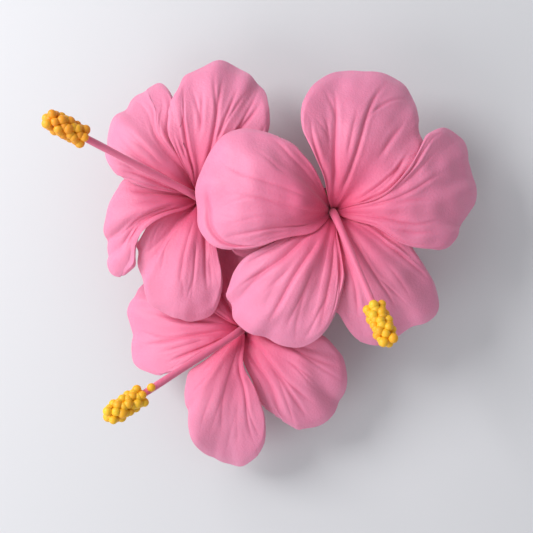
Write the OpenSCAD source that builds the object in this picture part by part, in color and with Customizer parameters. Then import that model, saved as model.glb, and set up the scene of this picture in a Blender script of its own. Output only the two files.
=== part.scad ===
// Hair clip with a cluster of three foam hibiscus flowers.
// The clip lies along X with its flat jaw on Z = 0; the flowers face up, +Z.

/* [Flowers] */
// Thickness of the foam sheet that the petals are cut from
petal_t = 0.9; // [0.7:0.05:1.2]
// Radius of the open throat that the petals start from
throat_r = 2.6; // [2.5:0.1:3]
// Outer radius of the stamen tube
stamen_r = 1.15; // [1:0.05:1.3]
// Radius of the wire inside the stamen
wire_r = 0.5; // [0.4:0.05:0.6]
// Angle of the straight stamen from upright
stamen_tilt = 62; // [58:1:64]
// Radius of one pollen ball
pollen_r = 1.7; // [1.4:0.05:1.7]

/* [Backing] */
// Thickness of the felt
felt_t = 1.6; // [1:0.1:2]
// Width of the felt strap that holds the clip
strap_w = 10; // [6:1:12]

/* [Clip] */
// Length of the flat jaw
jaw_len = 48; // [44:1:50]
// Width of the upper arm
arm_w = 10; // [10:0.5:12]
// Thickness of the steel sheet
sheet_t = 0.8; // [0.6:0.1:0.8]
// Height of the upper arm's underside above the table
arm_z = 9.2; // [9:0.1:10]
// Radius of the hinge pin
pin_r = 1.2; // [1:0.05:1.3]
// Clearance between the two arms and on the pin
play = 0.05; // [0.02:0.01:0.08]

/* [Hidden] */
$fn = 48;

// Petal rows, counter-clockwise from the topmost petal of the spiral:
// [direction, half angle, claw width, swirl, rise, droop, dome, ruffle, seven reaches from the clockwise side]
right_petals = [
    [8, 30, 0.8, 7, 15, 22, 1.0, 0.8, [34, 38, 42.5, 46.5, 47, 44.5, 38]],
    [70, 42, 1.0, 0, 14, 20, 0.5, 1.0, [30, 34, 43, 47, 44.5, 35, 26]],
    [165, 46, 1.3, 0, 17, 18, 4.0, 0.3, [22, 29.5, 41.7, 44, 43.2, 32.5, 22]],
    [243, 36, 1.15, -6, 14, 17, 2.5, 0.6, [27, 36, 46, 46.5, 43, 27, 20]],
    [304, 38, 1.0, -4, 13, 22, 1.5, 0.8, [31, 34, 44.5, 45.5, 44.5, 30, 20]]
];
left_petals = [
    [80, 37, 1.25, 0, 13, 20, 1.0, 1.0, [28, 33, 41.5, 45, 38.5, 27, 21]],
    [138, 32, 0.95, 0, 14, 32, 1.5, 0.8, [33, 41, 41, 39, 34, 25, 16]],
    [192, 34, 0.8, 10, 13, 32, 1.5, 0.8, [19, 25.5, 28.5, 32, 34.7, 35, 30]],
    [256, 36, 0.75, 0, 10, 20, 2.5, 0.5, [24, 28, 33, 39.5, 38.5, 31, 21]],
    [346, 44, 1.0, 0, 9, 16, 0, 0.3, [20, 24, 27, 28, 28, 25, 20]]
];
bottom_petals = [
    [115, 34, 1.0, 0, 4, 14, 0, 0.3, [22, 26, 30, 31, 31, 27, 22]],
    [183, 32, 0.85, 0, 3, 18, 1.0, 0.8, [33, 36.5, 39, 37.5, 36.5, 28.5, 18]],
    [250, 33, 0.8, 4, 9, 22, 2.0, 0.6, [22, 26, 33, 44, 45.5, 38, 28]],
    [322, 40, 0.9, 0, 8, 20, 1.5, 0.8, [24, 29, 39.5, 41, 34, 24, 18]],
    [40, 40, 1.0, 0, 7, 16, 0, 0.3, [20, 25, 28, 29, 29, 26, 21]]
];

// Flowers: [throat point, petal rows, stamen direction, reach of the stamen in plan]
right_flower = [[23.8, 11.1, 29], right_petals, 291, 41];
left_flower = [[-18.8, 15.6, 24.5], left_petals, 153, 48];
bottom_flower = [[-5, -26.6, 20.5], bottom_petals, 212, 46];

// Petals: shared bowl of a flower with its funnel, and how far edges stand off the bowl where they overlap
span_r = 50;
rise_power = 2.4;
droop_power = 2.5;
funnel_h = 5;
funnel_fade = 2.5;
edge_lift = [0.5, 1.8];
claw_t = 0.6;
across = 12;
along = 13;

// Stamens
stub_r = 1.7;
stub_z = 4.2;
socket = 1.6;
crown_balls = 3;
crown_r = 2.0;
head_rings = 4;
head_balls = 5;
head_r = 3.0;
ring_step = 2.9;

// Flower foot: plug height below the funnel, and how far the calyx stands below the bowl
hub_r = 2.7;
plug_h = 1;
stem_r = 2;
calyx_gap = [1.7, 2];
calyx_wall = 0.9;
calyx_r = 11;

// Clip
arm_back = 48;
tip_x = -30;
pin_x = 30;
pin_z = 6;
ear_r = 3;
tab_r = 5;
lower_w = 7.8;
rear_z = 2.4;
tab_end_z = 0.8;
tooth = 3;
tooth_h = 1;
flange_h = 1.6;
spring_r = 2.05;
spring_wire_r = 0.35;
spring_turns = 3.5;
felt_z = arm_z + sheet_t;
felt_top = felt_z + felt_t;

pink = [0.95, 0.5, 0.68];
deep_pink = [0.9, 0.38, 0.58];
yellow = [1, 0.78, 0.15];
green = [0.35, 0.55, 0.25];
steel = [0.75, 0.76, 0.78];

// ---- helpers ----

function ease(x) = let (c = max(0, min(1, x))) c * c * (3 - 2 * c);
function mix(a, b, k) = a + (b - a) * k;

// Smooth curve through evenly spaced values, with s from -1 to 1
function smooth_at(v, s) =
    let (
        last = len(v) - 1,
        p = (s + 1) / 2 * last,
        i = min(last - 1, floor(p)),
        k = p - i,
        a = v[max(0, i - 1)],
        b = v[i],
        c = v[i + 1],
        d = v[min(last, i + 2)]
    )
    b + 0.5 * k * (c - a + k * (2 * a - 5 * b + 4 * c - d + k * (3 * (b - c) + d - a)));

// Height of the flower's shared bowl at radius r
function bowl(rise, droop, r) =
    let (x = min(1, r / span_r))
    rise * (1 - pow(1 - x, rise_power)) - droop * pow(x, droop_power)
        - funnel_h * exp((throat_r - r) / funnel_fade);

// Which way a petal's edge lies: over (+1) or under (-1) its neighbour
function edge_side(i, s) = i == 0 ? 1 : i == 4 ? -1 : sign(s);

// The middle of petal i's sheet, and how far it stands off the bowl: s runs across, t outwards
function petal_middle(flower, i, s, t) =
    let (
        rows = flower[1],
        row = rows[i],
        r = mix(throat_r, smooth_at(row[8], s), t),
        turn = row[1] * sin(90 * s) * mix(row[2], 1, ease(t * 2)) + row[3] * (t - 0.5),
        beside = rows[(i + (turn > 0 ? 1 : 4)) % 5],
        apart = abs(row[0] - beside[0]),
        gap = min(apart, 360 - apart),
        k = ease(abs(turn) / gap),
        q = min(2, 2 * abs(turn) / gap),
        dome = q < 1 ? row[6] * pow(1 - q * q, 2) : beside[6] * pow(1 - pow(2 - q, 2), 2),
        lift = edge_side(i, s) * ease((q - 0.3) / 0.6) * mix(edge_lift[0], edge_lift[1], r / span_r),
        wave = row[7] * pow(max(0, 1 - q * q), 2) * t * t * t * sin(540 * s + 70 * i),
        z = bowl(mix(row[4], beside[4], k), mix(row[5], beside[5], k), r)
            + dome * sin(180 * pow(min(1, r / span_r), 0.8)) + wave
    )
    [r * cos(row[0] + turn), r * sin(row[0] + turn), z, lift];

// A point on the upper (side 1) or lower (side -1) face of petal i
function petal_point(flower, i, s, t, side) =
    let (
        d = 0.01,
        m = petal_middle(flower, i, s, t),
        across_v = petal_middle(flower, i, min(1, s + d), t) - petal_middle(flower, i, max(-1, s - d), t),
        along_v = petal_middle(flower, i, s, t + d) - petal_middle(flower, i, s, max(0, t - d)),
        n = cross([along_v[0], along_v[1], along_v[2]], [across_v[0], across_v[1], across_v[2]]),
        off = m[3] + side * mix(claw_t, petal_t, ease(t * 3)) / 2
    )
    flower[0] + [m[0], m[1], m[2]] + off * n / norm(n);

// ---- flowers ----

module petal(flower, i) {
    n = across + 1;
    m = along + 1;
    top = [for (j = [0 : along]) for (k = [0 : across])
        petal_point(flower, i, 2 * k / across - 1, j / along, 1)];
    bottom = [for (j = [0 : along]) for (k = [0 : across])
        petal_point(flower, i, 2 * k / across - 1, j / along, -1)];
    under = n * m;
    faces = [
        for (j = [0 : along - 1]) for (k = [0 : across - 1])
            let (a = j * n + k)
            each [[a, a + 1, a + n + 1], [a, a + n + 1, a + n],
                [under + a, under + a + n + 1, under + a + 1], [under + a, under + a + n, under + a + n + 1]],
        for (k = [0 : across - 1])
            let (a = k, b = along * n + k)
            each [[a, under + a, under + a + 1], [a, under + a + 1, a + 1],
                [b, b + 1, under + b + 1], [b, under + b + 1, under + b]],
        for (j = [0 : along - 1])
            let (a = j * n, b = j * n + across)
            each [[a, a + n, under + a + n], [a, under + a + n, under + a],
                [b, under + b, under + b + n], [b, under + b + n, b + n]]
    ];
    color(pink) polyhedron(points = concat(top, bottom), faces = faces);
}

// Frame at the bend of a stamen, with +Z along the straight stamen
module at_bend(flower) {
    translate(flower[0] + [0, 0, stub_z]) rotate([0, stamen_tilt, flower[2]]) children();
}

function stamen_length(flower) = flower[3] / sin(stamen_tilt);

// Tube of the stamen, glued into a socket of the hub
module stamen(flower) {
    length = stamen_length(flower) - socket;
    color(pink) at_bend(flower) translate([0, 0, socket]) difference() {
        cylinder(r = stamen_r, h = length);
        translate([0, 0, -1]) cylinder(r = wire_r * 0.9, h = length + 2);
    }
}

// Wire up the hub and on through the stamen; its upright end is a little thicker
module stamen_wire(flower) {
    color(steel) {
        translate(flower[0] - [0, 0, funnel_h]) cylinder(r = wire_r, h = funnel_h + stub_z + wire_r);
        at_bend(flower) cylinder(r = wire_r * 0.9, h = stamen_length(flower) - 3);
    }
}

// Balls round the stamen's end: a crown on the tip, then staggered rings
module pollen(flower) {
    color(yellow) at_bend(flower) translate([0, 0, stamen_length(flower)]) {
        for (k = [0 : crown_balls - 1])
            rotate([0, 0, k * 360 / crown_balls]) translate([crown_r, 0, pollen_r]) sphere(r = pollen_r);
        for (ring = [0 : head_rings - 1])
            for (k = [0 : head_balls - 1])
                rotate([0, 0, (k + ring / 2) * 360 / head_balls])
                    translate([head_r, 0, -pollen_r - ring * ring_step]) sphere(r = pollen_r);
    }
}

// Foam plug that the petal claws are glued round, with the stamen's socket on top
module hub(flower) {
    foot = flower[0][2] - felt_top;
    color(deep_pink) difference() {
        union() {
            translate([flower[0][0], flower[0][1], felt_top]) {
                cylinder(r = stem_r, h = foot - funnel_h - plug_h);
                translate([0, 0, foot - funnel_h - plug_h - 0.5]) cylinder(r1 = stem_r, r2 = hub_r, h = plug_h);
                cylinder(r = stub_r, h = foot + stub_z);
            }
            translate(flower[0] + [0, 0, stub_z]) sphere(r = stub_r + 0.2);
        }
        stamen_wire(flower);
        at_bend(flower) translate([0, 0, socket]) cylinder(r = stamen_r, h = 5);
    }
}

// Height of the calyx's upper face at radius r, under the lowest petals of the flower
function calyx_z(flower, r) =
    bowl(min([for (row = flower[1]) row[4]]), max([for (row = flower[1]) row[5]]), r)
        - calyx_gap[0] - calyx_gap[1] * exp((throat_r - r) / funnel_fade);

// Green cup round the funnel, with five sepals under the petals
module calyx(flower) {
    low = -funnel_h - plug_h - 1.2;
    radii = [for (r = [hub_r + 0.5 : 1 : calyx_r]) r];
    last = len(radii) - 1;
    color(green) translate(flower[0]) intersection() {
        rotate_extrude() polygon([
            [stem_r + 0.05, low],
            for (r = radii) [r + calyx_wall, calyx_z(flower, r) - calyx_wall],
            for (k = [last : -1 : 0]) [radii[k], calyx_z(flower, radii[k])],
            [stem_r + 0.05, low + 0.6]
        ]);
        translate([0, 0, -20]) linear_extrude(40) union() {
            circle(r = hub_r + 2);
            for (k = [0 : 4]) rotate(k * 72 + 20)
                polygon([[0, -3.4], [hub_r + 2, -3], [calyx_r + 1, 0], [hub_r + 2, 3], [0, 3.4]]);
        }
    }
}

// ---- backing ----

module glue_dab(flower) {
    dab_r = 4.5;
    sink = 2.6;
    translate([flower[0][0], flower[0][1], felt_top]) difference() {
        intersection() {
            translate([0, 0, -sink]) sphere(r = dab_r);
            cylinder(r = dab_r, h = dab_r);
        }
        translate([0, 0, -1]) cylinder(r = stem_r, h = dab_r);
    }
}

module glue_dabs() {
    color([0.95, 0.93, 0.86]) {
        glue_dab(right_flower);
        glue_dab(left_flower);
        glue_dab(bottom_flower);
    }
}

module felt_base() {
    color(deep_pink) translate([0, 0, felt_z]) linear_extrude(felt_t) hull() {
        translate([right_flower[0][0], right_flower[0][1] - 2]) circle(r = 11);
        translate([left_flower[0][0], left_flower[0][1] - 4]) circle(r = 11);
        translate([bottom_flower[0][0], bottom_flower[0][1] + 2]) circle(r = 9);
    }
}

// Band across the underside of the upper arm, its two ends glued to the felt
module felt_strap() {
    t = 0.9;
    inner = arm_w / 2 + 0.3;
    ends = 13;
    color(deep_pink) translate([6 + strap_w, 0, arm_z - 0.1]) rotate([90, 0, -90])
        linear_extrude(strap_w) polygon([
            [-ends, sheet_t + 0.1], [-ends, sheet_t + 0.1 - t], [-inner - t, sheet_t + 0.1 - t], [-inner - t, -t],
            [inner + t, -t], [inner + t, sheet_t + 0.1 - t], [ends, sheet_t + 0.1 - t], [ends, sheet_t + 0.1],
            [inner, sheet_t + 0.1], [inner, 0], [-inner, 0], [-inner, sheet_t + 0.1]
        ]);
}

// ---- clip ----

// Bar across the arm, at a point of its side view
module cross_rod(x, z, r, w) {
    translate([x, w / 2, z]) rotate([90, 0, 0]) cylinder(r = r, h = w);
}

module upper_arm() {
    color(steel) difference() {
        union() {
            translate([tip_x + tab_r, -arm_w / 2, arm_z]) cube([arm_back - tip_x - 2 * tab_r, arm_w, sheet_t]);
            for (x = [tip_x + tab_r, arm_back - tab_r])
                translate([x, 0, arm_z]) cylinder(r = tab_r, h = sheet_t);
            for (side = [-1, 1]) {
                translate([0, side * (arm_w - sheet_t) / 2, 0]) cross_rod(pin_x, pin_z, ear_r, sheet_t);
                translate([pin_x - ear_r, side * (arm_w - sheet_t) / 2 - sheet_t / 2, pin_z])
                    cube([2 * ear_r, sheet_t, arm_z - pin_z + sheet_t / 2]);
            }
            for (x = [38 : 2.5 : 45])
                cross_rod(x, arm_z + sheet_t, 0.4, arm_w - 3);
        }
        cross_rod(pin_x, pin_z, pin_r, arm_w + 2);
    }
}

// Side view of the lower arm's bent sheet, from the jaw tip back to the thumb tab
module lower_profile() {
    polygon([
        [-jaw_len / 2, 0], [jaw_len / 2, 0], [pin_x - 3, rear_z], [pin_x + 4, rear_z], [arm_back, tab_end_z],
        [arm_back, tab_end_z + sheet_t], [pin_x + 4, rear_z + sheet_t], [pin_x - 3.3, rear_z + sheet_t],
        [jaw_len / 2 - 0.3, sheet_t], [-jaw_len / 2 + 0.3, sheet_t],
        [-jaw_len / 2 - 2.6, arm_z - 0.3], [-jaw_len / 2 - 3.4, arm_z - 0.3]
    ]);
}

// Side view of one toothed flange
module flange_profile() {
    front = -jaw_len / 2 + 1;
    teeth = 13;
    polygon([
        [front, sheet_t / 2],
        for (k = [0 : teeth - 1]) each [
            [front + k * tooth, sheet_t + flange_h],
            [front + (k + 0.5) * tooth, sheet_t + flange_h + tooth_h]
        ],
        [front + teeth * tooth, sheet_t + flange_h],
        [pin_x - 3, rear_z + sheet_t + 1],
        [pin_x, rear_z + sheet_t / 2],
        [pin_x - 3, rear_z + sheet_t / 2],
        [jaw_len / 2, sheet_t / 2]
    ]);
}

module lower_arm() {
    color(steel) difference() {
        union() {
            translate([0, lower_w / 2, 0]) rotate([90, 0, 0]) linear_extrude(lower_w) lower_profile();
            for (side = [-1, 1])
                translate([0, side * (lower_w - sheet_t) / 2, 0]) {
                    translate([0, sheet_t / 2, 0]) rotate([90, 0, 0]) linear_extrude(sheet_t) flange_profile();
                    cross_rod(pin_x, pin_z, ear_r - 0.3, sheet_t);
                    translate([pin_x - ear_r + 0.3, -sheet_t / 2, rear_z + sheet_t / 2])
                        cube([2 * ear_r - 0.6, sheet_t, pin_z - rear_z - sheet_t / 2]);
                }
        }
        cross_rod(pin_x, pin_z, pin_r + play, arm_w + 2);
    }
}

module hinge_pin() {
    head = 0.6;
    color(steel) {
        cross_rod(pin_x, pin_z, pin_r, arm_w + 2 * head);
        for (side = [-1, 1])
            translate([0, side * (arm_w + head) / 2, 0]) cross_rod(pin_x, pin_z, pin_r + 0.7, head);
    }
}

// Centre line of the spring: a leg under the upper arm, the coil round the pin, a leg on the lower tab
coil_steps = 48;
coil_w = spring_turns * (2 * spring_wire_r + 0.06);
leg_x = 43;
spring_path = [
    [leg_x, -coil_w / 2, arm_z - spring_wire_r - 0.1],
    [(pin_x + leg_x) / 2, -coil_w / 2, (pin_z + spring_r + arm_z - spring_wire_r - 0.1) / 2],
    for (k = [0 : coil_steps])
        let (a = 90 + k / coil_steps * 360 * spring_turns)
        [pin_x + spring_r * cos(a), -coil_w / 2 + k / coil_steps * coil_w, pin_z + spring_r * sin(a)],
    [(pin_x + leg_x) / 2, coil_w / 2, (pin_z - spring_r + 2.9) / 2],
    [leg_x, coil_w / 2, 2.65]
];

// Round tube along a path, with its rings square to the path
module tube(path, r, sides) {
    last = len(path) - 1;
    function heading(i) = let (v = path[min(last, i + 1)] - path[max(0, i - 1)]) v / norm(v);
    function ring(i) =
        let (t = heading(i), n = cross(t, [0, 1, 0.001]), u = n / norm(n), w = cross(t, u))
        [for (k = [0 : sides - 1]) path[i] + r * (u * cos(360 * k / sides) + w * sin(360 * k / sides))];
    polyhedron(
        points = [for (i = [0 : last]) each ring(i)],
        faces = [
            [for (k = [0 : sides - 1]) k],
            for (i = [0 : last - 1]) for (k = [0 : sides - 1])
                let (a = i * sides + k, b = i * sides + (k + 1) % sides)
                each [[a, a + sides, b + sides], [a, b + sides, b]],
            [for (k = [0 : sides - 1]) last * sides + sides - 1 - k]
        ]
    );
}

module torsion_spring() {
    color(steel) tube(spring_path, spring_wire_r, 8);
}

// ---- nodes ----

petal(right_flower, 0);  // right_petal_1
petal(right_flower, 1);  // right_petal_2
petal(right_flower, 2);  // right_petal_3
petal(right_flower, 3);  // right_petal_4
petal(right_flower, 4);  // right_petal_5
petal(left_flower, 0);  // left_petal_1
petal(left_flower, 1);  // left_petal_2
petal(left_flower, 2);  // left_petal_3
petal(left_flower, 3);  // left_petal_4
petal(left_flower, 4);  // left_petal_5
petal(bottom_flower, 0);  // bottom_petal_1
petal(bottom_flower, 1);  // bottom_petal_2
petal(bottom_flower, 2);  // bottom_petal_3
petal(bottom_flower, 3);  // bottom_petal_4
petal(bottom_flower, 4);  // bottom_petal_5
stamen(right_flower);  // right_stamen
stamen(left_flower);  // left_stamen
stamen(bottom_flower);  // bottom_stamen
stamen_wire(right_flower);  // right_stamen_wire
stamen_wire(left_flower);  // left_stamen_wire
stamen_wire(bottom_flower);  // bottom_stamen_wire
pollen(right_flower);  // right_pollen
pollen(left_flower);  // left_pollen
pollen(bottom_flower);  // bottom_pollen
hub(right_flower);  // right_hub
hub(left_flower);  // left_hub
hub(bottom_flower);  // bottom_hub
calyx(right_flower);  // right_calyx
calyx(left_flower);  // left_calyx
calyx(bottom_flower);  // bottom_calyx
glue_dabs();
felt_base();
felt_strap();
upper_arm();
lower_arm();
hinge_pin();
torsion_spring();
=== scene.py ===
"""Flower hair clip: three foam hibiscus flowers on a sprung toothed clip."""
import math
import random
from collections import namedtuple

import bmesh
import bpy
import numpy as np
from mathutils import Matrix, Vector


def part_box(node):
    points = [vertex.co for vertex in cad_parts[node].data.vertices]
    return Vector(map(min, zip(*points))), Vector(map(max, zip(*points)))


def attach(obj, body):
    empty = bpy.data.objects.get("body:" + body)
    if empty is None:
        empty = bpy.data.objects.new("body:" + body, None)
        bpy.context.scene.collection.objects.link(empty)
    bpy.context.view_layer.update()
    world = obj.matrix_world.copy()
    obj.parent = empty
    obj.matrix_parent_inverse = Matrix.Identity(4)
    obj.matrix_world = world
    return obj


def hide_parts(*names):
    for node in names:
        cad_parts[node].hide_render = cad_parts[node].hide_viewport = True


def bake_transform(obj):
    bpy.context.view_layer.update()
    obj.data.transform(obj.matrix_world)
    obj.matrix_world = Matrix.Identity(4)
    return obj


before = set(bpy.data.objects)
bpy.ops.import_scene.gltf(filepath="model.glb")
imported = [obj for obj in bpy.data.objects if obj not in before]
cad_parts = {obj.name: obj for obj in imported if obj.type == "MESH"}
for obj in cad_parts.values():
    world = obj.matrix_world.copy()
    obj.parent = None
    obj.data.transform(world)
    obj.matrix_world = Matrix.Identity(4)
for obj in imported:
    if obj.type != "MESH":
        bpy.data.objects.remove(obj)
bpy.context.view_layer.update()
MM = 0.001
TOP = "flower_side"

# ---------------------------------------------------------------- flower shape, in millimetres

# Angles are in degrees. The seven reaches go round the rim from the clockwise side.
Petal = namedtuple("Petal", "direction half_angle swirl rise droop dome ruffle reaches")
Flower = namedtuple("Flower", "throat petals stamen_direction stamen_reach")

# Petals of each flower, counter-clockwise from the topmost one of the spiral
RIGHT_PETALS = [
    Petal(8, 30, 7, 15, 22, 1.0, 0.8, (34, 38, 42.5, 46.5, 47, 44.5, 38)),
    Petal(70, 42, 0, 14, 20, 0.5, 1.0, (30, 34, 43, 47, 44.5, 35, 26)),
    Petal(165, 46, 0, 17, 18, 4.0, 0.3, (22, 29.5, 41.7, 44, 43.2, 32.5, 22)),
    Petal(243, 36, -6, 14, 17, 2.5, 0.6, (27, 36, 46, 46.5, 43, 27, 20)),
    Petal(304, 38, -4, 13, 22, 1.5, 0.8, (31, 34, 44.5, 45.5, 44.5, 30, 20)),
]
LEFT_PETALS = [
    Petal(80, 37, 0, 13, 20, 1.0, 1.0, (28, 33, 41.5, 45, 38.5, 27, 21)),
    Petal(138, 32, 0, 14, 32, 1.5, 0.8, (33, 41, 41, 39, 34, 25, 16)),
    Petal(192, 34, 10, 13, 32, 1.5, 0.8, (19, 25.5, 28.5, 32, 34.7, 35, 30)),
    Petal(256, 36, 0, 10, 20, 2.5, 0.5, (24, 28, 33, 39.5, 38.5, 31, 21)),
    Petal(346, 44, 0, 9, 16, 0, 0.3, (20, 24, 27, 28, 28, 25, 20)),
]
BOTTOM_PETALS = [
    Petal(115, 34, 0, 4, 14, 0, 0.3, (22, 26, 30, 31, 31, 27, 22)),
    Petal(183, 32, 0, 3, 18, 1.0, 0.8, (33, 36.5, 39, 37.5, 36.5, 28.5, 18)),
    Petal(250, 33, 4, 9, 22, 2.0, 0.6, (22, 26, 33, 44, 45.5, 38, 28)),
    Petal(322, 40, 0, 8, 20, 1.5, 0.8, (24, 29, 39.5, 41, 34, 24, 18)),
    Petal(40, 40, 0, 7, 16, 0, 0.3, (20, 25, 28, 29, 29, 26, 21)),
]

FLOWERS = {
    "right": Flower((23.8, 11.1, 29), RIGHT_PETALS, 291, 41),
    "left": Flower((-18.8, 15.6, 24.5), LEFT_PETALS, 153, 48),
    "bottom": Flower((-5, -26.6, 20.5), BOTTOM_PETALS, 212, 46),
}

# Strength of the pressed veins; the clockwise and the other half's width, at the claw, one third, two thirds
# and the rim, as shares of the half angle; the rim's features: (place, width, reach, lift), in millimetres
LOOKS = {
    "right": (
        (0.9, (1.2, 0.9, 1.12, 1.0), (0.6, 0.4, 0.7, 1.0), (
            (0.9, 0.2, -1.8, 0), (0.35, 0.12, 0.9, 0.5), (0.2, 0.06, -0.5, -0.8),
            (-0.12, 0.14, 1.5, 0.6), (-0.38, 0.08, -0.6, -0.9))),
        (1.0, (1.35, 1.35, 1.22, 1.05), (1.1, 0.9, 0.95, 1.0), (
            (-0.1, 0.14, 1.6, 0.8), (-0.42, 0.09, -2.4, -1.6),
            (-0.6, 0.1, -1.0, 0.4), (0.12, 0.06, -0.5, -0.7))),
        (0.6, (1.2, 1.15, 1.1, 1.0), (1.5, 1.4, 1.03, 0.9), (
            (-0.6, 0.2, -0.8, 0), (0.22, 0.1, -1.0, -0.5), (0.55, 0.12, 1.6, 0.4))),
        (1.2, (1.3, 1.1, 1.0, 1.0), (1.1, 1.0, 1.0, 1.0), (
            (-0.33, 0.06, -1.5, -1.0), (-0.52, 0.1, 0.3, 1.2),
            (0.5, 0.15, 1.0, 0.4), (0.02, 0.07, -0.7, -0.8))),
        (0.8, (1.3, 1.1, 0.95, 0.92), (1.1, 1.05, 0.98, 0.88), (
            (0.95, 0.2, 4.5, 0), (0.35, 0.2, 1.7, 0.6), (-0.62, 0.12, -1.2, 0), (0.08, 0.06, -0.5, -0.6))),
    ),
    "left": (
        (1.2, (1.3, 1.2, 1.0, 1.0), (1.2, 1.0, 1.0, 1.0), (
            (0.05, 0.08, 0.8, 0.6), (0.44, 0.07, -1.4, -1.0), (0.3, 0.05, 0.6, 0.5),
            (-0.28, 0.06, -0.6, -1.2), (-0.12, 0.06, -0.2, -0.8))),
        (1.0, (1.3, 0.9, 0.72, 1.0), (1.3, 1.0, 1.0, 1.0), (
            (-0.16, 0.09, -2.0, -1.2), (-0.8, 0.25, 1.4, 0.9),
            (-0.42, 0.05, -0.5, -0.6), (0.25, 0.06, -0.4, -0.8))),
        (0.9, (1.2, 1.0, 1.0, 1.0), (1.1, 0.5, 0.48, 0.9), (
            (0.47, 0.14, 1.6, -0.8), (0.02, 0.08, 0.6, 0.5),
            (0.15, 0.05, -0.4, -0.6), (1.0, 0.15, -1.2, 0.6))),
        (0.7, (1.4, 1.5, 1.4, 1.15), (1.1, 0.9, 0.9, 0.85), (
            (-0.65, 0.1, -1.5, 0.6), (-0.2, 0.1, 2.0, 0.6), (0.08, 0.06, -0.6, -0.6), (0.45, 0.15, 0.8, 0))),
        (0.8, (1.1, 1.0, 1.0, 1.0), (1.1, 1.0, 1.0, 1.0), ()),
    ),
    "bottom": (
        (0.8, (1.3, 1.1, 1.0, 1.0), (1.3, 1.1, 1.0, 1.0), ()),
        (1.0, (1.3, 1.1, 1.0, 1.0), (1.3, 1.0, 1.0, 1.0), (
            (-0.4, 0.08, -1.0, 0.4), (-0.2, 0.07, 0.7, 0.4), (0.02, 0.06, -0.5, -1.0),
            (0.3, 0.15, 1.6, 0.4), (0.6, 0.1, 1.0, 0))),
        (0.6, (1.3, 1.0, 0.95, 1.0), (0.8, 0.55, 0.93, 1.0), (
            (-0.28, 0.07, -1.5, -1.0), (0.33, 0.07, 0.8, 0.5),
            (0.1, 0.05, -0.5, -0.6), (0.9, 0.15, -1.2, 0))),
        (0.8, (1.5, 1.3, 1.05, 1.0), (1.1, 1.0, 1.0, 1.0), (
            (-0.42, 0.05, 1.6, 0.6), (-0.55, 0.06, -0.4, -0.8), (0.0, 0.06, -0.9, -1.0), (0.4, 0.1, 0.5, 0))),
        (0.8, (1.1, 1.0, 1.0, 1.0), (1.1, 1.0, 1.0, 1.0), ()),
    ),
}
# Petals whose rim is folded back in a lip: (place, width, depth of the fold in millimetres)
FOLDED_LIPS = {("right", 2): ((0.42, 0.3, 1.0),)}
# Petals that arch up close to the throat: height in millimetres
PUFFS = {("right", 2): 2.6}
PUFF_R = 9.5
PUFF_SPREAD = 5

PETALS = 5
# Cells across and along a petal
ACROSS = 180
ALONG = 110
# Thickness of the foam sheet, and of its claw
PETAL_T = 0.9
CLAW_T = 0.6
CUT_ROUNDING = 0.55
# Shared bowl: its outer radius, and the powers of its rise and its droop
SPAN_R = 50
RISE_POWER = 2.4
DROOP_POWER = 2.5
# Neck of the bowl: the radius that the claws start from, its depth and how fast it fades outwards
CLAW_R = 1.3
NECK_H = 2.4
NECK_FADE = 1.9
# How far overlapping edges stand off the bowl, at the middle and at its outer radius
EDGE_LIFT = (0.5, 1.8)
# Funnel that the calyx follows: radius, depth and how fast it fades outwards
THROAT_R = 2.6
FUNNEL_H = 5
FUNNEL_FADE = 2.5
# Stamens: tilt from upright in degrees, height of the bend over the throat, radii of the tube and the wire
STAMEN_TILT = 62
STUB_Z = 4.2
STAMEN_R = 1.15
WIRE_R = 0.5
# Pollen: radius that spaces the balls, rings, balls in a ring and the step between rings
POLLEN_R = 1.7
POLLEN_RINGS = 4
RING_BALLS = 5
RING_STEP = 2.75
# Upper face of the felt
FELT_TOP = 11.6


def ease(x):
    c = np.clip(x, 0, 1)
    return c * c * (3 - 2 * c)


def mix(a, b, k):
    return a + (b - a) * k


def smooth_at(values, s):
    """Smooth curve through evenly spaced values, with s from -1 to 1."""
    v = np.asarray(values, dtype=float)
    last = len(v) - 1
    p = (s + 1) / 2 * last
    i = np.clip(np.floor(p).astype(int), 0, last - 1)
    k = p - i
    a = v[np.maximum(i - 1, 0)]
    b = v[i]
    c = v[i + 1]
    d = v[np.minimum(i + 2, last)]
    return b + 0.5 * k * (c - a + k * (2 * a - 5 * b + 4 * c - d + k * (3 * (b - c) + d - a)))


def bowl(rise, droop, r):
    """Height of the flower's shared bowl at radius r; its neck closes in on the stamen."""
    x = np.minimum(1, r / SPAN_R)
    neck = NECK_H * np.exp((CLAW_R - r) / NECK_FADE)
    return rise * (1 - (1 - x) ** RISE_POWER) - droop * x ** DROOP_POWER - neck


def plan_turn(row, widths, s, r):
    """Angle from the petal's direction at radius r, in degrees. Each half of the petal has its own widths.

    The width goes by radius and not by t, so that the grid never folds over at the side edges."""
    ends = np.where(s < 0, row.reaches[0], row.reaches[-1])
    along = 2 * np.clip((r - CLAW_R) / (ends - CLAW_R), 0, 1) - 1
    width = np.where(s < 0, smooth_at(widths[0], along), smooth_at(widths[1], along))
    swirl = row.swirl * ((r - CLAW_R) / (row.reaches[3] - CLAW_R) - 0.5)
    return row.half_angle * np.sin(math.pi / 2 * s) * width + swirl


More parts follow.
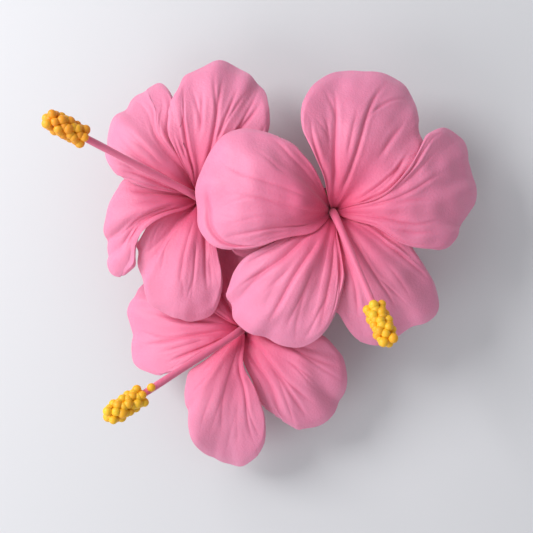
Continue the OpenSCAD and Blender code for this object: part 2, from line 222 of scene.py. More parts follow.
class Ripple:
    """A petal's own unevenness: widths, soft folds that fan out, a waved rim and a lobed outline."""

    def __init__(self, name, i):
        rng = random.Random(f"{name} ripple {i}")
        self.veins, clockwise, other, rim = LOOKS[name][i]
        self.widths = (clockwise, other)
        self.folds = [(k, rng.uniform(0, 6.28), rng.uniform(-0.8, 0.8)) for k in (5.3, 8.1, 12.7)]
        self.lobes = [(k, rng.uniform(0, 6.28)) for k in (6.5, 10.5, 17)]
        self.rim = rim
        self.puff = PUFFS.get((name, i), 0)

    def reach(self, s):
        """Change of the outline's radius, in millimetres."""
        free = ease(1.5 - 1.5 * abs(s))
        out = sum(a * np.sin(k * s + p) for a, (k, p) in zip((0.1, 0.12, 0.12), self.lobes)) * free
        for place, width, reach, _ in self.rim:
            out = out + reach * np.exp(-(((s - place) / width) ** 2))
        return out

    def lift(self, s, t):
        """Height that the folds and the waved rim add, even as the columns bunch up at the side edges."""
        u = np.sin(math.pi / 2 * s)
        broad = sum(a * np.sin(k * u + p + b * t) for a, (k, p, b) in zip((0.3, 0.3, 0.2), self.folds))
        out = broad * ease(t * 2.2)
        wave = sum(a * np.sin(k * u + p) for a, (k, p) in zip((0.5, 0.6, 0.25), self.lobes))
        out = out + wave * ease((t - 0.62) / 0.38) * ease(1.35 - 1.2 * abs(u))
        for place, width, _, lift in self.rim:
            spread = width * max(0.35, math.pi / 2 * math.cos(math.pi / 2 * place))
            near = (u - math.sin(math.pi / 2 * place)) / spread
            out = out + lift * ease((t - 0.6) / 0.4) * np.exp(-(near ** 2))
        return out


def petal_middle(rows, i, s, t, ripple):
    """The middle of petal i's sheet, how far its edges stand off the bowl, its radius and its turn."""
    row = rows[i]
    r = mix(CLAW_R, smooth_at(row.reaches, s) + ripple.reach(s), t)
    turn = plan_turn(row, ripple.widths, s, r)
    ahead = rows[(i + 1) % PETALS]
    behind = rows[i - 1]
    gap_ahead = (ahead.direction - row.direction) % 360
    gap_behind = (row.direction - behind.direction) % 360
    forward = turn > 0
    gap = np.where(forward, gap_ahead, gap_behind)
    k = ease(abs(turn) / gap)
    q = np.minimum(2, 2 * abs(turn) / gap)
    rise, droop, dome = (
        np.where(forward, getattr(ahead, part), getattr(behind, part)) for part in ("rise", "droop", "dome"))
    dome = np.where(q < 1, row.dome * (1 - q * q) ** 2, dome * (1 - (2 - q) ** 2) ** 2)
    side = 1.0 if i == 0 else -1.0 if i == PETALS - 1 else np.sign(s)
    edge = ease((abs(s) - 0.45) / 0.45)
    lift = side * np.maximum(ease((q - 0.3) / 0.6), edge) * mix(EDGE_LIFT[0], EDGE_LIFT[1], r / SPAN_R)
    crown = np.maximum(0, 1 - q * q) ** 2
    wave = row.ruffle * crown * t ** 3 * np.sin(np.radians(540 * s + 70 * i)) * (1 - edge)
    z = bowl(mix(row.rise, rise, k), mix(row.droop, droop, k), r) + wave
    uneven = ripple.lift(s, t) + ripple.puff * crown * np.exp(-(((r - PUFF_R) / PUFF_SPREAD) ** 2))
    uneven = mix(uneven, 0.5 * side * abs(uneven), np.maximum(ease((q - 0.5) / 0.3), edge))
    z = z + dome * np.sin(math.pi * np.minimum(1, r / SPAN_R) ** 0.8) + uneven
    angle = np.radians(row.direction + turn)
    return np.stack([r * np.cos(angle), r * np.sin(angle), z], -1), lift, r, turn


def creases(row, ripple, s, t, r, turn, rng):
    """Depth of the pressed veins: sharp grooves with soft shoulders, which fan out from the claw."""
    depth = np.zeros_like(s)
    count = max(7, round(row.half_angle / 4.2))

    def groove(path, start, stop, deep, width):
        x = np.abs(np.radians(turn - plan_turn(row, ripple.widths, path, r)) * r)
        along = ease((t - start) / 0.14) * ease((stop - t) / 0.26)
        valley = np.exp(-((x / width) ** 1.25))
        shoulder = np.exp(-(((x - 2.2 * width) / (1.3 * width)) ** 2))
        return deep * along * (valley - 0.3 * shoulder)

    for k in range(count):
        middle = (k + 0.5 + rng.uniform(-0.28, 0.28)) / count * 1.84 - 0.92
        main = k % 2 == 0
        start = rng.uniform(0.08, 0.2) if main else rng.uniform(0.25, 0.5)
        stop = rng.uniform(0.78, 1.0) if main else rng.uniform(0.7, 0.97)
        bend = rng.uniform(-0.09, 0.09)
        path = middle + bend * np.sin(math.pi * t) + 0.018 * np.sin(8 * t + 2 * k)
        deep = ripple.veins * (rng.uniform(0.4, 0.72) if main else rng.uniform(0.25, 0.5))
        width = rng.uniform(0.42, 0.8)
        depth += groove(path, start, stop, deep, width)
        if rng.random() < 0.6:
            fork = rng.uniform(0.35, 0.62)
            away = rng.choice((-1, 1)) * rng.uniform(0.1, 0.2)
            branch = path + away * np.maximum(0, t - fork) / (1 - fork)
            depth += groove(branch, fork, min(1, stop + 0.05), 0.65 * deep, 0.8 * width)
    return depth


def unit(v):
    return v / np.linalg.norm(v, axis=-1, keepdims=True)


def new_object(name, bm, material):
    mesh = bpy.data.meshes.new(name)
    bm.to_mesh(mesh)
    bm.free()
    for polygon in mesh.polygons:
        polygon.use_smooth = True
    mesh.materials.append(material)
    piece = bpy.data.objects.new(name, mesh)
    bpy.context.scene.collection.objects.link(piece)
    return piece


def add_attribute(piece, name, values):
    layer = piece.data.attributes.new(name, "FLOAT", "POINT")
    layer.data.foreach_set("value", np.asarray(values, dtype=np.float32).ravel())


def finish_piece(piece, body, node_name):
    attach(piece, body)
    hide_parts(node_name)


def give_wall(piece, name, thickness, edge, segments, sharp):
    """Thickens an open sheet to both sides and rounds its cut edge; sharp is in degrees."""
    wall = piece.modifiers.new(name, "SOLIDIFY")
    wall.thickness = thickness * MM
    wall.offset = 0
    soft = piece.modifiers.new("cut edge", "BEVEL")
    soft.width = edge * MM
    soft.segments = segments
    soft.limit_method = "ANGLE"
    soft.angle_limit = math.radians(sharp)


def crossing_waves(points, rng, count, shortest, longest):
    """Sum of waves over the points' plan, each with its own direction, length and phase."""
    total = np.zeros(len(points))
    for _ in range(count):
        spin = rng.uniform(0, 2 * math.pi)
        pitch = rng.uniform(shortest, longest)
        phase = rng.uniform(0, 2 * math.pi)
        run = points[:, 0] * math.cos(spin) + points[:, 1] * math.sin(spin)
        total += np.sin(run * 2 * math.pi / pitch + phase)
    return total


# ---------------------------------------------------------------- materials


def material(name):
    mat = bpy.data.materials.new(name)
    mat.use_nodes = True
    nodes = mat.node_tree.nodes
    return mat, nodes, mat.node_tree.links, nodes["Principled BSDF"]


def node(nodes, kind, **settings):
    made = nodes.new(kind)
    for key, value in settings.items():
        setattr(made, key, value)
    return made


def ramp(nodes, stops):
    made = nodes.new("ShaderNodeValToRGB")
    elements = made.color_ramp.elements
    while len(elements) < len(stops):
        elements.new(0.5)
    for element, (place, colour) in zip(elements, stops):
        element.position = place
        element.color = (*colour, 1)
    return made


def grain_group():
    """Fine grain and soft mottling that several finishes share."""
    group = bpy.data.node_groups.new("surface grain", "ShaderNodeTree")
    face = group.interface
    face.new_socket("Grain size", in_out="INPUT", socket_type="NodeSocketFloat").default_value = 900
    face.new_socket("Mottle size", in_out="INPUT", socket_type="NodeSocketFloat").default_value = 60
    face.new_socket("Height", in_out="OUTPUT", socket_type="NodeSocketFloat")
    face.new_socket("Mottle", in_out="OUTPUT", socket_type="NodeSocketFloat")
    nodes = group.nodes
    links = group.links
    inside = nodes.new("NodeGroupInput")
    outside = nodes.new("NodeGroupOutput")
    place = nodes.new("ShaderNodeTexCoord")
    fine = node(nodes, "ShaderNodeTexNoise")
    fine.inputs["Detail"].default_value = 4
    fine.inputs["Roughness"].default_value = 0.6
    soft = node(nodes, "ShaderNodeTexNoise")
    soft.inputs["Detail"].default_value = 3
    links.new(place.outputs["Object"], fine.inputs["Vector"])
    links.new(place.outputs["Object"], soft.inputs["Vector"])
    links.new(inside.outputs["Grain size"], fine.inputs["Scale"])
    links.new(inside.outputs["Mottle size"], soft.inputs["Scale"])
    links.new(fine.outputs["Fac"], outside.inputs["Height"])
    links.new(soft.outputs["Fac"], outside.inputs["Mottle"])
    return group


GRAIN = grain_group()


def grain(nodes, size, mottle):
    made = nodes.new("ShaderNodeGroup")
    made.node_tree = GRAIN
    made.inputs["Grain size"].default_value = size
    made.inputs["Mottle size"].default_value = mottle
    return made


def bump(nodes, links, height, strength, distance):
    made = nodes.new("ShaderNodeBump")
    made.inputs["Strength"].default_value = strength
    made.inputs["Distance"].default_value = distance
    links.new(height, made.inputs["Height"])
    return made


def foam_material(name, stops, crease_shade):
    """Moulded foam: colour runs from the claw to the rim, darker at the claw partly as painted shade, with
    grain, mottling and painted shade in the creases.
    """
    mat, nodes, links, shader = material(name)
    reach = node(nodes, "ShaderNodeAttribute", attribute_name="reach")
    crease = node(nodes, "ShaderNodeAttribute", attribute_name="crease")
    body = ramp(nodes, stops)
    links.new(reach.outputs["Fac"], body.inputs["Fac"])
    texture = grain(nodes, 1400, 70)
    mottled = node(nodes, "ShaderNodeMix", data_type="RGBA", blend_type="MULTIPLY")
    tone = ramp(nodes, [(0.3, (0.93, 0.9, 0.92)), (0.7, (1.0, 1.0, 1.0))])
    links.new(texture.outputs["Mottle"], tone.inputs["Fac"])
    mottled.inputs["Factor"].default_value = 0.8
    links.new(body.outputs["Color"], mottled.inputs["A"])
    links.new(tone.outputs["Color"], mottled.inputs["B"])
    # Painted shade in the creases: the colour is mixed toward a darker pink by the crease depth.
    creased = node(nodes, "ShaderNodeMix", data_type="RGBA")
    links.new(crease.outputs["Fac"], creased.inputs["Factor"])
    links.new(mottled.outputs["Result"], creased.inputs["A"])
    creased.inputs["B"].default_value = (*crease_shade, 1)
    links.new(creased.outputs["Result"], shader.inputs["Base Color"])
    rough = node(nodes, "ShaderNodeMapRange")
    rough.inputs["To Min"].default_value = 0.46
    rough.inputs["To Max"].default_value = 0.6
    links.new(texture.outputs["Mottle"], rough.inputs["Value"])
    links.new(rough.outputs["Result"], shader.inputs["Roughness"])
    relief = bump(nodes, links, texture.outputs["Height"], 0.6, 0.0003)
    links.new(relief.outputs["Normal"], shader.inputs["Normal"])
    shader.inputs["Subsurface Weight"].default_value = 0.15
    shader.inputs["Subsurface Radius"].default_value = (1.0, 0.35, 0.4)
    shader.inputs["Subsurface Scale"].default_value = 0.0015
    shader.inputs["Sheen Weight"].default_value = 0.3
    shader.inputs["Sheen Roughness"].default_value = 0.5
    shader.inputs["Sheen Tint"].default_value = (0.9, 0.92, 1.0, 1)
    shader.inputs["Specular IOR Level"].default_value = 0.5
    return mat


def plain_material(name, dark, light, roughness, size, mottle, relief, metallic=0.0):
    """Two tones mixed by mottling, with grain in the relief."""
    mat, nodes, links, shader = material(name)
    texture = grain(nodes, size, mottle)
    tone = ramp(nodes, [(0.3, dark), (0.7, light)])
    links.new(texture.outputs["Mottle"], tone.inputs["Fac"])
    links.new(tone.outputs["Color"], shader.inputs["Base Color"])
    rough = node(nodes, "ShaderNodeMapRange")
    rough.inputs["To Min"].default_value = roughness[0]
    rough.inputs["To Max"].default_value = roughness[1]
    links.new(texture.outputs["Height"], rough.inputs["Value"])
    links.new(rough.outputs["Result"], shader.inputs["Roughness"])
    bumped = bump(nodes, links, texture.outputs["Height"], relief[0], relief[1])
    links.new(bumped.outputs["Normal"], shader.inputs["Normal"])
    shader.inputs["Metallic"].default_value = metallic
    return mat


def pollen_material(name, deep, bright):
    mat, nodes, links, shader = material(name)
    tint = node(nodes, "ShaderNodeAttribute", attribute_name="tint")
    tone = ramp(nodes, [(0.0, deep), (1.0, bright)])
    links.new(tint.outputs["Fac"], tone.inputs["Fac"])
    texture = grain(nodes, 900, 400)
    mottled = node(nodes, "ShaderNodeMix", data_type="RGBA", blend_type="MULTIPLY")
    shade = ramp(nodes, [(0.35, (0.94, 0.88, 0.8)), (0.65, (1.0, 1.0, 1.0))])
    links.new(texture.outputs["Mottle"], shade.inputs["Fac"])
    mottled.inputs["Factor"].default_value = 0.7
    links.new(tone.outputs["Color"], mottled.inputs["A"])
    links.new(shade.outputs["Color"], mottled.inputs["B"])
    links.new(mottled.outputs["Result"], shader.inputs["Base Color"])
    relief = bump(nodes, links, texture.outputs["Height"], 0.2, 0.0001)
    links.new(relief.outputs["Normal"], shader.inputs["Normal"])
    shader.inputs["Roughness"].default_value = 0.5
    shader.inputs["Subsurface Weight"].default_value = 0.2
    shader.inputs["Subsurface Radius"].default_value = (1.0, 0.6, 0.2)
    shader.inputs["Subsurface Scale"].default_value = 0.001
    return mat


# Colour by distance from the claw: the deep crimson near the claw is partly the foam's own deeper pink and
# partly painted shade in the throat.
PETAL_STOPS = [
    (0.0, (0.6, 0.05, 0.14)), (0.12, (0.72, 0.07, 0.175)), (0.28, (0.8, 0.14, 0.27)),
    (0.6, (0.84, 0.235, 0.385)), (1.0, (0.85, 0.26, 0.425)),
]
# (0.75, 0.13, 0.25) is the darker pink of the painted shade in the creases.
PETAL_FOAM = foam_material("petal foam", PETAL_STOPS, (0.75, 0.13, 0.25))
# Stamen colour along its length, from the foot to the end: darker towards the root, down in the throat, as
# painted shade.
STAMEN_STOPS = [(0.0, (0.5, 0.03, 0.1)), (0.2, (0.8, 0.13, 0.26)), (1.0, (0.86, 0.22, 0.36))]
# (0.7, 0.07, 0.18) is the darker pink of the painted crease shade; the stamen has no crease depth.
STAMEN_FOAM = foam_material("stamen foam", STAMEN_STOPS, (0.7, 0.07, 0.18))
POLLEN = {
    "right": pollen_material("pollen lemon", (0.93, 0.44, 0.01), (0.97, 0.58, 0.025)),
    "left": pollen_material("pollen orange", (0.9, 0.33, 0.012), (0.95, 0.46, 0.02)),
    "bottom": pollen_material("pollen amber", (0.93, 0.44, 0.012), (0.97, 0.57, 0.02)),
}
# The hub's dark crimson is painted shade: the dark of the throat's crevice, where its plug shows between the
# claws.
HUB_FOAM = plain_material(
    "hub foam", (0.5, 0.05, 0.14), (0.62, 0.09, 0.2), (0.6, 0.75), 900, 120, (0.4, 0.0002))
CALYX_FOAM = plain_material(
    "calyx foam", (0.07, 0.19, 0.035), (0.14, 0.3, 0.06), (0.55, 0.7), 900, 90, (0.4, 0.0002))
FELT = plain_material(
    "felt", (0.58, 0.06, 0.2), (0.7, 0.1, 0.27), (0.9, 1.0), 2600, 300, (1.0, 0.0006))
GLUE = plain_material(
    "hot glue", (0.75, 0.7, 0.58), (0.85, 0.82, 0.72), (0.2, 0.35), 300, 200, (0.3, 0.0002))
CLIP_STEEL = plain_material(
    "clip steel", (0.58, 0.58, 0.59), (0.68, 0.68, 0.69), (0.26, 0.38), 500, 60, (0.06, 0.00003), 1.0)
SPRING_STEEL = plain_material(
    "spring steel", (0.4, 0.4, 0.42), (0.5, 0.5, 0.52), (0.25, 0.4), 1500, 80, (0.15, 0.00005), 1.0)


# ---------------------------------------------------------------- petals


def double_grid():
    """A grid and a second one extruded from it: the two faces of a sheet, joined round the edge.

    Gives the bmesh, each vertex's place in the grid, counted row by row, and its side."""
    bm = bmesh.new()
    bmesh.ops.create_grid(bm, x_segments=ACROSS, y_segments=ALONG, size=1)
    grown = bmesh.ops.extrude_face_region(bm, geom=bm.faces[:] + bm.edges[:], use_keep_orig=True)
    for v in grown["geom"]:
        if isinstance(v, bmesh.types.BMVert):
            v.co.z = 1
    flat = np.array([v.co[:] for v in bm.verts])
    column = np.rint((flat[:, 0] + 1) / 2 * ACROSS).astype(int)
    line = np.rint((flat[:, 1] + 1) / 2 * ALONG).astype(int)
    return bm, line * (ACROSS + 1) + column, np.where(flat[:, 2] > 0.5, 1, -1)


def make_petal(flower, i):
    centre, rows, _, _ = FLOWERS[flower]
    row = rows[i]
    rng = random.Random(f"{flower} petal {i}")
    ripple = Ripple(flower, i)
    bm, spot, side = double_grid()
    u = np.tile(np.linspace(-1, 1, ACROSS + 1), ALONG + 1)
    s = mix(2 / math.pi * np.arcsin(u), u, 0.35)
    t = 1 - (1 - np.repeat(np.linspace(0, 1, ALONG + 1), ACROSS + 1)) ** 1.35
    middle, lift, r, turn = petal_middle(rows, i, s, t, ripple)
    step = 0.004
    inner = np.clip(s, -0.97, 0.97)

    def sheet_at(s, t):
        return petal_middle(rows, i, s, t, ripple)[0]

    across = sheet_at(inner + step, t) - sheet_at(inner - step, t)
    along = sheet_at(inner, t + step) - sheet_at(inner, np.maximum(0, t - step))
    normal = unit(np.cross(along, across))
    groove = creases(row, ripple, s, t, r, turn, rng)
    for place, width, deep in FOLDED_LIPS.get((flower, i), ()):
        groove += deep * np.exp(-(((s - place) / width) ** 4)) * np.exp(-(((t - 0.91) / 0.022) ** 2))
    swell = crossing_waves(middle, rng, 6, 6, 15)
    swell *= 0.06 * ease(t * 3)
    curl = 0.9 * ease((t - 0.9) / 0.1) ** 2
    calm = 1 - 0.75 * ease((abs(s) - 0.62) / 0.3)
    groove *= calm
    points = middle + normal * (lift - groove + swell * calm)[:, None]
    points[:, 2] -= curl
    half = rim_weights(row, s, t, r) * PETAL_T / 2
    points = points[spot] + np.array(centre) + normal[spot] * (side * half[spot])[:, None]
    place_points(bm, points)
    bmesh.ops.recalc_face_normals(bm, faces=bm.faces)
    piece = new_object(f"{flower}_petal_{i + 1}_skin", bm, PETAL_FOAM)
    # Distance out, which sets the colour; its dark claw end is partly painted shade in the throat.
    add_attribute(piece, "reach", (r / 45)[spot])
    # Crease depth, by which the material paints shade into the creases.
    add_attribute(piece, "crease", np.clip(groove * 1.3, 0, 0.6)[spot])
    finish_piece(piece, TOP, f"{flower}_petal_{i + 1}")


def rim_weights(row, s, t, r):
    """How thick the sheet is there, from 0 to 1: full inside and rounded off at the cut edge."""
    rim = (1 - t) * smooth_at(row.reaches, s)
    edge = np.radians(row.half_angle) * r * (1 - np.sin(math.pi / 2 * np.abs(s)))
    close = np.minimum(rim, edge)
    x = np.clip(close / CUT_ROUNDING, 0, 1)
    return np.maximum(0.12, np.sqrt(1 - (1 - x) ** 2)) * mix(CLAW_T / PETAL_T, 1, ease(t * 3))


# ---------------------------------------------------------------- stamens


def bend_frame(flower):
    """Origin at the stamen's bend, with Z along its straight part."""
    centre, _, direction, reach = FLOWERS[flower]
    place = Matrix.Translation(Vector(centre) + Vector((0, 0, STUB_Z)))
    tilt = math.radians(STAMEN_TILT)
    turned = Matrix.Rotation(math.radians(direction), 4, "Z") @ Matrix.Rotation(tilt, 4, "Y")
    return place @ turned, reach / math.sin(tilt)


def sweep(name, path, radii, sides, mat):
    """A round rod along a path: one ring, extruded from point to point and closed at both ends."""
    bm = bmesh.new()
    last = len(path) - 1
    heading = [(path[min(last, i + 1)] - path[max(0, i - 1)]).normalized() for i in range(last + 1)]
    turn = Vector((0, 0, 1)).rotation_difference(heading[0]).to_matrix()
    made = bmesh.ops.create_circle(bm, cap_ends=True, segments=sides, radius=radii[0])
    ring = made["verts"]
    shape = [v.co.copy() / radii[0] for v in ring]
    for v, co in zip(ring, shape):
        v.co = path[0] + turn @ (co * radii[0])
    edges = bm.edges[:]
    for i in range(1, last + 1):
        turn = heading[i - 1].rotation_difference(heading[i]).to_matrix() @ turn
        grown = bmesh.ops.extrude_edge_only(bm, edges=edges)
        fresh = [g for g in grown["geom"] if isinstance(g, bmesh.types.BMVert)]
        edges = [g for g in grown["geom"] if isinstance(g, bmesh.types.BMEdge)]
        for v, co in zip(fresh, shape):
            v.co = path[i] + turn @ (co * radii[i])
    bmesh.ops.edgeloop_fill(bm, edges=edges)
    bmesh.ops.recalc_face_normals(bm, faces=bm.faces)
    return new_object(name, bm, mat)


def stamen_path(flower):
    """The stamen's centre line, from the foot of the neck over the bend and along to its end."""
    place, length = bend_frame(flower)
    centre = Vector(FLOWERS[flower].throat)
    bend = place @ Vector((0, 0, 0))
    foot = centre + Vector((0, 0, -FUNNEL_H))
    lead_in = centre + Vector((0, 0, -0.5))
    lead_out = place @ Vector((0, 0, 8))
    end = place @ Vector((0, 0, length))
    path = [foot.lerp(lead_in, k / 4) for k in range(4)]
    for k in range(15):
        f = k / 14
        path.append(lead_in * (1 - f) ** 2 + bend * 2 * f * (1 - f) + lead_out * f * f)
    path += [lead_out.lerp(end, k / 40) for k in range(1, 41)]
    return [p * MM for p in path]


def make_stamen(flower):
    path = stamen_path(flower)
    last = len(path) - 1
    phase = random.Random(f"{flower} stamen").uniform(0, 6)
    sides = 24
    radii = []
    for k in range(last + 1):
        f = k / last
        flare = 0.25 * max(0, 1 - f * 4) + 0.12 * (1 - f)
        radii.append((STAMEN_R - 0.05 + flare + 0.04 * math.sin(23 * f + phase)) * MM)
    piece = sweep(f"{flower}_stamen_skin", path, radii, sides, STAMEN_FOAM)
    add_attribute(piece, "reach", np.repeat(np.linspace(0, 1, last + 1), sides))
    finish_piece(piece, TOP, f"{flower}_stamen")
    wire = sweep(f"{flower}_stamen_core", path[:-2], [WIRE_R * MM] * (last - 1), 12, SPRING_STEEL)
    finish_piece(wire, TOP, f"{flower}_stamen_wire")


def make_pollen(flower):
    """Rolled balls glued round the stamen's end, each a little out of round and out of line."""
    place, length = bend_frame(flower)
    rng = random.Random(f"{flower} pollen")
    spots = [(1.8, POLLEN_R, k * 120) for k in range(3)]
    turn = 360 / RING_BALLS
    for ring in range(POLLEN_RINGS):
        for k in range(RING_BALLS):
            spots.append((2.4, -POLLEN_R - ring * RING_STEP, (k + ring / 2) * turn))
    for ring in range(POLLEN_RINGS - 1):
        for k in range(RING_BALLS):
            spots.append((2.0, -POLLEN_R - (ring + 0.5) * RING_STEP, (k + ring / 2 + 0.25) * turn + 20))
    spots.append((0.2, 1.0, 0))
    spots += [(0.5, -0.6 - k * 1.9, k * 120) for k in range(6)]
    spots += [(1.9, 0, k * 120 + 60) for k in range(3)]
    if flower == "bottom":
        spots.append((2.5, -POLLEN_R - 12, 190))
    bm = bmesh.new()
    tints = []
    for radius, height, angle in spots:
        made = bmesh.ops.create_icosphere(bm, subdivisions=3, radius=1)
        size = POLLEN_R * rng.uniform(0.8, 0.95)
        squash = Matrix.Diagonal((1, rng.uniform(0.93, 1), rng.uniform(0.93, 1.03), 1))
        tumble = Matrix.Rotation(rng.uniform(0, 6), 4, Vector((rng.random(), rng.random(), 1)))
        spot = Vector((radius + rng.uniform(-0.12, 0.12), 0, length + height + rng.uniform(-0.12, 0.12)))
        spin = Matrix.Rotation(math.radians(angle + rng.uniform(-2, 2)), 4, "Z")
        there = Matrix.Scale(MM, 4) @ place @ spin @ Matrix.Translation(spot)
        whole = there @ tumble @ squash @ Matrix.Scale(size, 4)
        bmesh.ops.transform(bm, matrix=whole, verts=made["verts"])
        tints += [rng.random()] * len(made["verts"])
    piece = new_object(f"{flower}_pollen_balls", bm, POLLEN[flower])
    add_attribute(piece, "tint", tints)
    finish_piece(piece, TOP, f"{flower}_pollen")


# ---------------------------------------------------------------- hubs, calyxes and glue

SEPALS = 5
SEPAL_TURN = 20


def polar_sheet(around, along):
    """A grid to be wrapped round a centre: its bmesh, each point's angle and its share of the way out."""
    bm = bmesh.new()
    bmesh.ops.create_grid(bm, x_segments=around, y_segments=along, size=1)
    flat = np.array([v.co[:] for v in bm.verts])
    return bm, (flat[:, 0] + 1) * math.pi, (flat[:, 1] + 1) / 2


def place_points(bm, points):
    for v, p in zip(bm.verts, points):
        v.co = Vector(p) * MM


def close_round(bm):
    """Joins the seam and the pole of a wrapped grid, and turns its faces outwards."""
    bmesh.ops.remove_doubles(bm, verts=bm.verts, dist=0.00001)
    bmesh.ops.recalc_face_normals(bm, faces=bm.faces)


def make_hub(flower):
    """Rolled foam stem with a plug on top, which the claws are glued round."""
    x, y, z = FLOWERS[flower].throat
    rng = random.Random(f"{flower} hub")
    bm = bmesh.new()
    foot = FELT_TOP - z
    steps = 26
    outline = [(0, foot), (1.9, foot), (2.0, foot + 0.15)]
    for k in range(1, steps):
        height = mix(foot + 0.15, -6.6, k / steps)
        outline.append((2.0 + rng.uniform(-0.06, 0.06), height))
    outline += [(2.05, -6.5), (2.5, -5.9), (2.7, -5.4), (2.55, -5.0), (1.8, -4.5), (1.3, -3.7), (0, -3.5)]
    ring = [bm.verts.new((r * MM, 0, h * MM)) for r, h in outline]
    edges = [bm.edges.new(pair) for pair in zip(ring, ring[1:])]
    bmesh.ops.spin(
        bm, geom=ring + edges, cent=(0, 0, 0), axis=(0, 0, 1), angle=2 * math.pi, steps=40, use_merge=True)
    close_round(bm)
    bmesh.ops.translate(bm, vec=Vector((x, y, z)) * MM, verts=bm.verts)
    finish_piece(new_object(f"{flower}_hub_foam", bm, HUB_FOAM), TOP, f"{flower}_hub")


def calyx_top(flower, r):
    """Height of the calyx's upper face, below the lowest petals."""
    rows = FLOWERS[flower].petals
    x = r / SPAN_R
    rise = min(row.rise for row in rows)
    droop = max(row.droop for row in rows)
    neck = (FUNNEL_H + 2.0) * np.exp((THROAT_R - r) / FUNNEL_FADE)
    return rise * (1 - (1 - x) ** RISE_POWER) - droop * x ** DROOP_POWER - neck - 1.7


def make_calyx(flower):
    """Green cup with five pointed sepals, ribbed down the middle."""
    bm, angle, t = polar_sheet(200, 46)
    half = 180 / SEPALS
    sepal = (np.degrees(angle) - SEPAL_TURN + half) % (2 * half) - half
    near = 1 - np.abs(sepal) / half
    reach = 4.4 + 6.6 * near ** 1.5
    r = mix(2.15, reach, t)
    cup = ease(t / 0.14)
    z = mix(-FUNNEL_H - 1.9, calyx_top(flower, np.maximum(r, 3.3)) - 0.45, cup)
    rib = 0.3 * np.exp(-np.abs(np.radians(sepal) * r) / 0.45) * ease((t - 0.1) / 0.3) * ease((1 - t) / 0.3)
    veins = 0.06 * np.sin(np.radians(sepal) * r * 5) * ease((t - 0.2) / 0.3) * ease((1 - t) / 0.2)
    z = z - rib - veins - 0.35 * ease((t - 0.8) / 0.2) * near
    x, y, base = FLOWERS[flower].throat
    place_points(bm, np.stack([x + r * np.cos(angle), y + r * np.sin(angle), base + z], -1))
    close_round(bm)
    piece = new_object(f"{flower}_calyx_cup", bm, CALYX_FOAM)
    give_wall(piece, "foam thickness", 0.8, 0.2, 2, 60)
    finish_piece(piece, TOP, f"{flower}_calyx")


def make_glue():
    """Set beads of hot glue where the stems stand on the felt."""
    rng = random.Random("glue")
    whole = bmesh.new()
    for flower in FLOWERS:
        bm, angle, t = polar_sheet(56, 16)
        waves = [(k, rng.uniform(0, 6.28), rng.uniform(0.02, 0.07)) for k in (2, 3, 5)]
        edge = 3.6 * (1 + sum(a * np.sin(k * angle + p) for k, p, a in waves))
        r = edge * t
        z = FELT_TOP - 0.02 + 1.85 * np.sqrt(np.maximum(0, 1 - t ** 2.4)) * (1 + 0.05 * t * np.sin(3 * angle))
        x, y, _ = FLOWERS[flower].throat
        place_points(bm, np.stack([x + r * np.cos(angle), y + r * np.sin(angle), z], -1))
        bmesh.ops.remove_doubles(bm, verts=bm.verts, dist=0.00001)
        rim = [e for e in bm.edges if e.is_boundary]
        bmesh.ops.edgeloop_fill(bm, edges=rim)
        bmesh.ops.recalc_face_normals(bm, faces=bm.faces)
        part = bpy.data.meshes.new("bead")
        bm.to_mesh(part)
        bm.free()
        whole.from_mesh(part)
        bpy.data.meshes.remove(part)
    finish_piece(new_object("glue_beads", whole, GLUE), TOP, "glue_dabs")


# ---------------------------------------------------------------- felt

FELT_T = 1.6
FELT_Z = 10.8
FELT_ROUNDS = (("right", -2, 11), ("left", -4, 11), ("bottom", 2, 9))


def felt_outline(angle):
    """Distance from the felt's middle to its cut edge, for each angle: a band stretched round three discs."""
    discs = [(FLOWERS[name].throat[0], FLOWERS[name].throat[1] + shift, r) for name, shift, r in FELT_ROUNDS]
    middle = np.mean([d[:2] for d in discs], axis=0)
    facing = np.linspace(0, 2 * math.pi, 2881)
    reach = [((x - middle[0]) * np.cos(facing) + (y - middle[1]) * np.sin(facing) + r) for x, y, r in discs]
    support = np.max(reach, axis=0)
    distance = [np.min(support / np.maximum(0.02, np.cos(facing - a))
                       + 1e6 * (np.cos(facing - a) < 0.02)) for a in angle]
    return middle, np.array(distance)


def fuzz(points, rng, height):
    """Uneven felted surface, from a few crossing waves."""
    return crossing_waves(points, rng, 12, 1.2, 4.5) * height / 4


def make_felt_base():
    rng = random.Random("felt")
    bm, angle, t = polar_sheet(260, 60)
    middle, distance = felt_outline(angle)
    cut = distance + 0.12 * np.sin(31 * angle) + 0.1 * np.sin(53 * angle + 1)
    r = cut * t
    points = np.stack([middle[0] + r * np.cos(angle), middle[1] + r * np.sin(angle), 0 * r + FELT_Z], -1)
    points[:, 2] += fuzz(points, rng, 0.06) * ease((1 - t) * 12)
    place_points(bm, points)
    close_round(bm)
    piece = new_object("felt_backing", bm, FELT)
    give_wall(piece, "felt thickness", FELT_T - 0.06, 0.4, 3, 50)
    finish_piece(piece, TOP, "felt_base")


def make_felt_strap():
    """Band under the upper arm, with its two ends glued up against the felt."""
    low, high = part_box("felt_strap")
    rng = random.Random("strap")
    bm = bmesh.new()
    bmesh.ops.create_grid(bm, x_segments=50, y_segments=130, size=1)
    flat = np.array([v.co[:] for v in bm.verts])
    t = 0.9
    climb = (high.z - low.z) / MM - t

    def height(y):
        return low.z / MM + t / 2 + climb * ease((np.abs(y) - 5.1) / 1.5)

    across = mix(low.x, high.x, (flat[:, 0] + 1) / 2) / MM
    y = high.y / MM * flat[:, 1]
    points = np.stack([across, y, height(y)], -1)
    points[:, 2] += fuzz(points, rng, 0.03)
    place_points(bm, points)
    piece = new_object("felt_band", bm, FELT)
    give_wall(piece, "felt thickness", t - 0.05, 0.2, 2, 50)
    finish_piece(piece, TOP, "felt_strap")


# ---------------------------------------------------------------- spring

PIN_X = 30
PIN_Z = 6
COIL_R = 2.05
SPRING_R = 0.35
COIL_TURNS = 3.5
LEG_X = 43
LEG_LOW_Z = 2.65
LEG_LOW_AIM = 2.9
# Underside of the upper tab
ARM_Z = 9.2


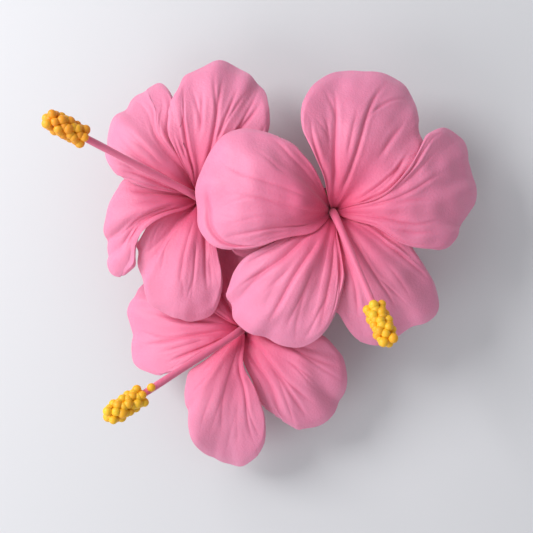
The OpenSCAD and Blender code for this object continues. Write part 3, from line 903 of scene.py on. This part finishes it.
def make_spring():
    """Torsion spring: a leg under the upper tab, the coil round the pin and a leg on the lower tab."""
    half = COIL_TURNS * (2 * SPRING_R + 0.06) / 2
    leg_top = ARM_Z - SPRING_R - 0.1
    top_knee = (PIN_Z + COIL_R + leg_top) / 2
    low_knee = (PIN_Z - COIL_R + LEG_LOW_AIM) / 2
    knee = (PIN_X + LEG_X) / 2
    path = []
    for k in range(9):
        f = k / 9
        path.append((mix(LEG_X, knee, f), -half, mix(leg_top, top_knee, f)))
    for k in range(6):
        f = k / 6
        path.append((mix(knee, PIN_X, f), -half, mix(top_knee, PIN_Z + COIL_R, f)))
    steps = 150
    for k in range(steps + 1):
        turn = math.radians(90 + 360 * COIL_TURNS * k / steps)
        path.append((
            PIN_X + COIL_R * math.cos(turn), -half + 2 * half * k / steps, PIN_Z + COIL_R * math.sin(turn)))
    for k in range(1, 7):
        f = k / 6
        path.append((mix(PIN_X, knee, f), half, mix(PIN_Z - COIL_R, low_knee, f)))
    for k in range(1, 10):
        f = k / 9
        path.append((mix(knee, LEG_X, f), half, mix(low_knee, LEG_LOW_Z, f)))
    path = [Vector(p) * MM for p in path]
    piece = sweep("spring_wire", path, [SPRING_R * MM] * len(path), 14, SPRING_STEEL)
    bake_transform(piece)
    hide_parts("torsion_spring")


# ---------------------------------------------------------------- making

for flower in FLOWERS:
    for i in range(PETALS):
        make_petal(flower, i)
    make_stamen(flower)
    make_pollen(flower)
    make_hub(flower)
    make_calyx(flower)
make_glue()
make_felt_base()
make_felt_strap()
make_spring()

for name in ("upper_arm", "lower_arm", "hinge_pin"):
    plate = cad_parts[name]
    plate.data.materials.clear()
    plate.data.materials.append(CLIP_STEEL)

# ---------------------------------------------------------------- stage, light and camera


def make_stage():
    bm = bmesh.new()
    bmesh.ops.create_grid(bm, x_segments=1, y_segments=1, size=1.5)
    floor_mat, nodes, links, shader = material("pale floor")
    shader.inputs["Base Color"].default_value = (0.7, 0.7, 0.71, 1)
    shader.inputs["Roughness"].default_value = 0.8
    floor = new_object("floor", bm, floor_mat)
    floor.location.z = -0.0002


def area_light(name, place, aim, size, power, colour):
    data = bpy.data.lights.new(name, "AREA")
    data.shape = "DISK"
    data.size = size
    data.energy = power
    data.color = colour
    lamp = bpy.data.objects.new(name, data)
    lamp.location = place
    lamp.rotation_euler = (Vector(aim) - Vector(place)).to_track_quat("-Z", "Y").to_euler()
    bpy.context.scene.collection.objects.link(lamp)


def make_lights():
    bpy.context.scene.view_settings.view_transform = "Standard"
    area_light("window", (-0.42, 0.23, 0.4), (0, 0, 0.02), 0.3, 3.0, (0.98, 0.98, 1.0))
    area_light("fill", (-0.55, -0.5, 0.5), (0, 0, 0.02), 0.7, 3.1, (0.97, 0.97, 1.0))
    world = bpy.data.worlds.new("soft room")
    world.use_nodes = True
    world.node_tree.nodes["Background"].inputs["Color"].default_value = (0.93, 0.95, 1.0, 1)
    world.node_tree.nodes["Background"].inputs["Strength"].default_value = 0.45
    bpy.context.scene.world = world


def make_camera():
    data = bpy.data.cameras.new("camera")
    data.sensor_width = 36
    data.lens = 84.4
    camera = bpy.data.objects.new("camera", data)
    camera.location = (0.0025, -0.0063, 0.43)
    camera.rotation_euler = (0, 0, 0)
    bpy.context.scene.collection.objects.link(camera)
    bpy.context.scene.camera = camera


make_stage()
make_lights()
make_camera()
